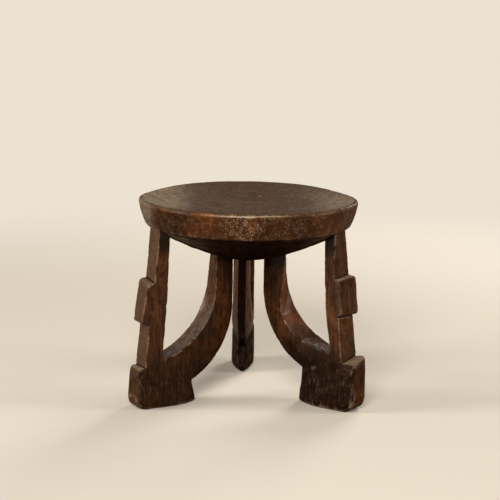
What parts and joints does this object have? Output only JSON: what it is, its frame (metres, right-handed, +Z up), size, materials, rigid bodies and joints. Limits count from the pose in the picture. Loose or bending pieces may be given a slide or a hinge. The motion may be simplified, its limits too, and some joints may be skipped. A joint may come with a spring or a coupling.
{
  "type": "stool",
  "caption": "Low round wooden stool with a dished seat, each leg an open frame of straight outer post, curved inner brace and boat-shaped foot.",
  "frame": {"origin": "on the floor under the middle of the stool's bounding box; the seat's upright axis stands 19 mm in front of it", "axes": "+Z up, +X to the right and +Y to the back, seen from the front, where the left and right legs stand nearest"},
  "size_m": [0.3506, 0.368, 0.305],
  "materials": {
    "seat_wood": "satin",
    "leg_wood": "satin"
  },
  "bodies": {
    "root": {"seat": "seat_wood", "left_post": "leg_wood", "left_block": "leg_wood", "left_brace": "leg_wood", "left_foot": "leg_wood", "right_post": "leg_wood", "right_block": "leg_wood", "right_brace": "leg_wood", "right_foot": "leg_wood", "rear_post": "leg_wood", "rear_block": "leg_wood", "rear_brace": "leg_wood", "rear_foot": "leg_wood"}
  },
  "joints": []
}
